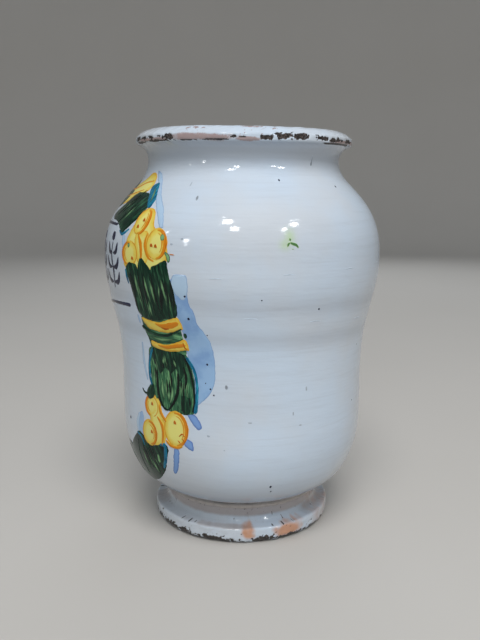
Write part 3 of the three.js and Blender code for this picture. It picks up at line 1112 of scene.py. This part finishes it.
def wreath_lower_fruit(paints):
    yellow, orange = paints["yellow"], paints["orange"]
    yellow.patch([(46, 90), (51.6, 89), (54, 80), (56, 70), (53.4, 61.6), (48, 61), (46, 74)], 2)
    fruit(paints, (47, 83.5), 13.5, 13.5, 0, -1, [(47.6, 85)])
    fruit(paints, (45.4, 67.4), 15.5, 16, 0, 1, [(47, 68.5)])
    fruit(paints, (60.8, 73.6), 18.5, 21.5, 0, 1, [(60.4, 77.4)])
    orange.stroke([(51.8, 86), (53, 81), (56, 76.6)], [1.4, 2.6, 1.6], 5)
    orange.stroke([(50.6, 78.6), (53.4, 74), (54, 68), (53, 62)], [1.6, 3.0, 2.6, 1.2], 5)
    orange.stroke([(55.4, 66), (57.6, 63.6), (61, 63), (64, 64.4)], [1.4, 2.0, 2.0, 1.4], 5)
    for line in (
        [(62.4, 69.6), (64, 71.6), (65.4, 70)],
        [(61.8, 67.4), (63.4, 66)],
        [(64, 69), (65.2, 67.4)],
    ):
        paints["brown"].stroke(line, [0.5, 0.9, 0.5], 7)


def wreath_bottom(paints):
    """One broad dark leaf turning in under the belly, with teal edges."""
    leaves, shadows, teal, streaks = paints["leaves"], paints["shadows"], paints["teal"], paints["streaks"]
    top = [(34, 63), (37, 66), (40.4, 64.4), (45, 60), (50, 61.6), (54, 64), (56.4, 61), (55.4, 56)]
    leaves.patch(
        top + [(53.2, 48), (50, 42.6), (45, 37.6), (38, 33.4), (30, 30.4), (23, 33), (22, 44),
        (27, 55)], 3, 118
    )
    leaves.patch(
        [(24, 54), (28, 48), (29, 38), (24, 29), (14, 26), (3, 25.4), (5, 34), (8, 47), (15, 52)], 2, 150
    )
    teal.stroke([(51.6, 62), (54.6, 62.2), (54, 54), (51.6, 47)], [1.8, 3.2, 3.0, 1.6], 5)
    teal.stroke([(35, 64.4), (38.6, 62.4), (41, 58)], [1.8, 2.0, 0.8], 5)
    streaks.stroke([(49.8, 56), (49.8, 50)], [2.4, 3.0], 6)
    leaf_marks(paints, (46, 40), (40, 62), 16, 14, 5, 0.45)
    leaf_marks(paints, (24, 32), (12, 48), 14, 9, 4, 0.45)
    shadows.stroke([(35.4, 60), (34, 50), (36, 38)], [0.8, 2.4, 1.0], 6)
    shadows.stroke([(46.6, 58), (46.8, 50), (48, 43)], [0.8, 2.2, 1.0], 6)
    shadows.stroke([(8, 44), (14, 34), (22, 31)], [0.8, 2.0, 0.8], 6)


def wreath_wash(paints):
    """The blue shadow down the wreath's outer side, with drips, and faint touches inside it."""
    wash, drips = paints["blue_wash"], paints["blue_drips"]
    outer = [(64.6, 159.4), (67, 160), (69.6, 159.6), (70.1, 150), (70.8, 145), (72.6, 140.6), (73.3, 135)]
    outer += [
        (76, 130), (78.4, 123.4), (79.2, 115), (79.2, 105), (78, 98.6), (76, 94.6), (73, 90.6), (71, 88.8)
    ]
    wash.patch(
        outer + [(69.6, 92), (70, 104), (67.6, 116), (67.4, 126), (65.6, 134), (64.4, 146),
        (62.6, 156)], 1, tone=0.1
    )
    wash.patch(
        [(64.4, 160.4), (67, 161.4), (69.8, 160.4), (70.3, 152), (68.6, 147), (66, 149),
        (63.4, 154)], 2, tone=0.8
    )
    drips.patch([(66.6, 83.4), (70, 83.6), (72.8, 79), (73, 76), (71.4, 75.2), (69, 78)], 1)
    drips.patch([(63, 69), (68.2, 68.6), (69.4, 64), (68.4, 62.4), (65, 65)], 1)
    drips.stroke([(61, 63), (60.4, 57), (59.4, 51), (57.6, 45.6)], [4.6, 5.0, 4.4, 3.0], 1)
    wash.stroke([(38, 77), (36, 70), (37, 64)], [3, 4.4, 3], 1, 0.9)
    wash.stroke([(38, 184), (38.4, 178), (39.6, 170)], [2.4, 3.6, 2], 1, 0.8)
    wash.stroke([(43.4, 120), (43, 108), (45, 98)], [1.6, 2.6, 1.6], 1, 0.8)
    wash.stroke([(44.6, 136), (45, 131)], [2, 2], 1, 0.6)
    wash.patch([(36.5, 74), (40, 78.6), (41.4, 73), (41, 66), (38.4, 63.6), (35.6, 66)], 1, tone=0.4)


def paint_middle(paints):
    """Between the two halves of the wreath: a fruit at the top and a knot of ribbon at the bottom."""
    fruit(paints, (0, 205.5), 15, 14, 0, 1, [(1, 205)])
    paints["leaves"].stroke([(-4, 212.4), (0, 214.4), (4, 212.4)], [1.6, 2.6, 1.6], 4)
    paints["yellow"].patch(
        [(-9, 44), (0, 40), (9, 44), (10, 33), (8, 27), (0, 32), (-8, 27), (-10, 33)], 5, 0
    )
    paints["orange"].stroke([(-8, 41), (-4, 36), (0, 36), (4, 36), (8, 41)], [1.2, 2.2, 3.0, 2.2, 1.2], 7)
    paints["orange"].stroke([(-7, 30), (0, 35), (7, 30)], [1, 1.8, 1], 7)
    fruit(paints, (0, 49.5), 13, 13, 0, -1, [(0.3, 49.6)])


def paint_label(paints):
    """Two rules across the front with a row of leafy sprigs between them."""
    navy = paints["navy"]
    navy.stroke(
        [(-31, 187.2), (-15, 188.4), (0, 188), (15, 188.6), (30, 187.8)], [1.8, 2.1, 1.7, 2.1, 1.8], 1
    )
    lower = [(-41, 140.8), (-25, 139.2), (-12, 137.6), (0, 137.2), (12, 137.6), (25, 139.6), (41, 140.6)]
    navy.stroke(lower, [2.2, 2.0, 1.7, 1.9, 1.7, 2.1, 2.4], 1)
    for middle in (-29, -14.5, 0, 14.5, 29):
        for way in (-1, 1):
            sway = ((0, 148.5), (1, 158), (-1, 168), (0, 177))
            stem = [(middle + 0.9 * way * t, height) for t, height in sway]
            if way > 0:
                navy.stroke(stem, [1.2, 2.6, 2.0, 1.4], 1)
            for level, reach in ((152, 6.4), (161, 5.8), (170, 4.6)):
                tip = middle + way * reach
                leaf = [
                    (middle + way * 0.4, level), (middle + way * reach * 0.72, level + 1.0),
                    (tip, level + 7)
                ]
                navy.stroke(leaf, [1.0, 3.6, 3.4, 0.8], 1)
        navy.dab((middle, 180.6), 5.4, 6.0, 2)


# Spatters of cobalt in the wash and dark pinholes in the white: azimuth, height in mm, size in mm.
# The faint marks have a width and a height in mm for their size.
SPECKS = [
    (69, 149.5, 1.9), (70, 137.5, 2.0), (76, 112.5, 1.9), (77, 99, 1.5), (75, 102, 1.3),
    (75.4, 109, 1.0), (74.6, 114, 0.9), (77.4, 115.6, 0.9), (76.6, 118, 0.8), (73.6, 112, 0.8),
    (76.8, 129, 1.2), (78.4, 95.6, 1.3), (69.4, 142.6, 1.0), (72.6, 121.4, 0.9), (65.8, 153, 1.1),
    (69.2, 120.6, 1.0), (28, 70.5, 2.0),
]
PINHOLES = [
    (107.3, 212.7, 1.6), (140, 208.9, 1.5), (117.1, 198.6, 0.9), (93.9, 180.8, 1.0),
    (119.9, 176.1, 0.9), (97.2, 149.1, 1.4), (120.3, 143.6, 1.4), (73.3, 153, 1.0), (103.4, 41.3, 1.9),
    (104, 37.6, 1.5), (152, 118, 1.2), (150, 84, 1.3), (171, 152, 1.0), (196, 178, 1.4),
    (214, 101, 1.1), (233, 146, 1.2), (251, 64, 1.5), (268, 190, 1.0), (280, 118, 1.3), (187, 62, 1.2),
]
FAINT_MARKS = [
    (83.7, 100.5, 2.4, 3.2), (93.5, 81, 3.4, 1.4), (115.5, 77.9, 2.6, 1.2), (82.7, 64.9, 1.8, 1.2),
    (76, 72.4, 2.6, 1.6), (118.1, 98.6, 1.6, 3.4), (112, 85, 1.2, 3.4), (70.6, 203, 2.2, 3.0),
    (64.6, 211, 1.4, 3.6), (68, 181, 2.2, 1.6), (64, 178, 2, 1.6), (178, 131, 3, 1.4),
    (205, 88, 2.4, 1.6), (246, 109, 3, 1.4), (221, 196, 2, 1.6),
]


def paint_flaws(paints):
    """A green splash, pinholes, faint grey marks and a short drip, all chance marks of the kiln."""
    splash, greys = paints["splash"], paints["greys"]
    azimuth, height = COPPER_SPLASH
    for line, width in (
        ([(-0.9, 2.8), (-0.5, 1.2)], 1.7),
        ([(-1.8, -1.9), (-1.2, -0.2), (-0.6, 0.6)], 1.4),
        ([(-0.8, 0.5), (0.4, -0.3), (1.6, -0.9), (2.4, -2.6)], 1.9),
        ([(-0.2, -3.0), (0.6, -3.1)], 0.6),
    ):
        splash.stroke([(azimuth + x, height + y) for x, y in line], [0.7 * width, width, 0.5 * width], 2)
    for azimuth, height, size in PINHOLES:
        paints["navy"].dab((azimuth, height), size, size, 2)
    for azimuth, height, width, tall in FAINT_MARKS:
        greys.dab((azimuth, height), width, tall, 1)
    greys.stroke([(130.4, 226), (129.9, 223), (128.6, 220.4)], [0.8, 1.4, 2.6], 2)
    for azimuth in np.arange(78, 350, 13.0):
        if azimuth < 160 or azimuth > 200:
            level = 150 + 16 * math.sin(azimuth * 1.7)
            greys.stroke(
                [(azimuth, level), (azimuth + 3, level + 0.3), (azimuth + 5, level)], [0.3, 0.6, 0.3], 1
            )


def paint_wreath():
    paints = mix_paints()
    for half in (1, -1):
        Paint.half = half
        wreath_wash(paints)
        wreath_top(paints)
        wreath_upper_fruit(paints)
        wreath_upper_leaves(paints)
        wreath_binding(paints)
        wreath_lower_leaves(paints)
        wreath_lower_fruit(paints)
        wreath_bottom(paints)
        for azimuth, height, size in SPECKS:
            paints["navy"].dab((azimuth, height), size, size, 3)
    Paint.half = 1
    paint_middle(paints)
    paint_label(paints)
    paint_flaws(paints)
    for paint in paints.values():
        paint.make()


# ---- The studio ------------------------------------------------------------------------------


def make_floor():
    """A pale floor that curves up into a wall all round."""
    floor_radius, bend, wall = 2.2, 0.8, 1.2
    profile = [(0, 0), (floor_radius, 0)]
    for i in range(1, 13):
        angle = i / 12 * math.pi / 2
        profile.append((floor_radius + bend * math.sin(angle), bend * (1 - math.cos(angle))))
    profile.append((floor_radius + bend, bend + wall))
    turns = 96
    points = []
    for radius, height in profile[1:]:
        for i in range(turns):
            angle = 2 * math.pi * i / turns
            points.append((radius * math.cos(angle), radius * math.sin(angle), height))
    faces = [list(range(turns))]
    for row in range(len(profile) - 2):
        for i in range(turns):
            j = (i + 1) % turns
            a = row * turns
            faces.append([a + i, a + turns + i, a + turns + j, a + j])
    mesh = bpy.data.meshes.new("studio_floor")
    mesh.from_pydata(points, [], faces)
    mesh.polygons.foreach_set("use_smooth", [True] * len(faces))
    floor = bpy.data.objects.new("studio_floor", mesh)
    bpy.context.collection.objects.link(floor)
    finish = Finish("studio_floor", 0.85, 0.2)
    tone = finish.noise(finish.place, 3, 2)
    mesh.materials.append(finish.finish(finish.mix(tone, srgb(192, 189, 184), srgb(196, 193, 189))))


def aim(thing, target):
    direction = Vector(target) - thing.location
    thing.rotation_euler = direction.to_track_quat("-Z", "Y").to_euler()


def add_lamp(name, place, target, size, power, colour, glossy):
    lamp = bpy.data.lights.new(name, "AREA")
    lamp.shape = "DISK"
    lamp.size = size
    lamp.energy = power
    lamp.color = colour
    made = bpy.data.objects.new(name, lamp)
    bpy.context.collection.objects.link(made)
    made.location = place
    aim(made, target)
    made.visible_camera = False
    made.visible_glossy = glossy
    made.visible_diffuse = not glossy


# The room's small ceiling lights, which show as glints: azimuth, elevation and size in metres.
CEILING_LIGHTS = [
    (74, 50, 0.2), (83, 38, 0.14), (138, 40, 0.17), (126, 34.5, 0.12), (44, 20, 0.09), (45, 14, 0.07),
    (25, 27, 0.06),
]
CEILING_DISTANCE = 1.6  # metres from the jar's middle
CEILING_RADIANCE = 25  # the same for all of them, so that a smaller one isn't brighter


def make_lights():
    world = bpy.data.worlds.new("studio")
    bpy.context.scene.world = world
    world.use_nodes = True
    background = world.node_tree.nodes["Background"]
    background.inputs["Color"].default_value = (0.84, 0.92, 1.0, 1)
    background.inputs["Strength"].default_value = 0.28
    middle = Vector((0, 0, 0.12))
    add_lamp("key", (0.95, 0.1, 1.7), middle, 1.1, 26, (1, 0.99, 0.98), False)
    add_lamp("front", (1.6, -0.15, 0.8), middle, 0.9, 5.5, (0.9, 0.96, 1.0), False)
    add_lamp("side", (0.7, 1.5, 0.3), middle, 0.9, 1.9, (1.0, 0.84, 0.7), False)
    add_lamp("back", (-1.5, 0.3, 1.0), middle, 1.2, 5, (0.92, 0.96, 1.0), False)
    for number, (azimuth, elevation, size) in enumerate(CEILING_LIGHTS):
        around = math.radians(azimuth)
        up = math.radians(elevation)
        away = Vector((math.sin(around) * math.cos(up), -math.cos(around) * math.cos(up), math.sin(up)))
        power = CEILING_RADIANCE * math.pi**2 * size**2 / 4
        place = middle + away * CEILING_DISTANCE
        add_lamp(f"ceiling_{number}", place, middle, size, power, (1, 1, 1), True)


# The photograph's viewpoint, in line with azimuth 90.
CAMERA_PLACE = (0.4314, -0.0019, 0.2002)
CAMERA_DOWN = 9.985  # degrees below the horizontal
CAMERA_LENS = 38.7


def make_camera():
    data = bpy.data.cameras.new("camera")
    data.sensor_width = 36
    data.lens = CAMERA_LENS
    camera = bpy.data.objects.new("camera", data)
    bpy.context.collection.objects.link(camera)
    camera.location = CAMERA_PLACE
    camera.rotation_euler = (math.radians(90 - CAMERA_DOWN), 0, math.radians(90))
    bpy.context.scene.camera = camera


make_pottery()
paint_wreath()
make_floor()
make_lights()
make_camera()
bpy.context.scene.view_settings.view_transform = "Standard"
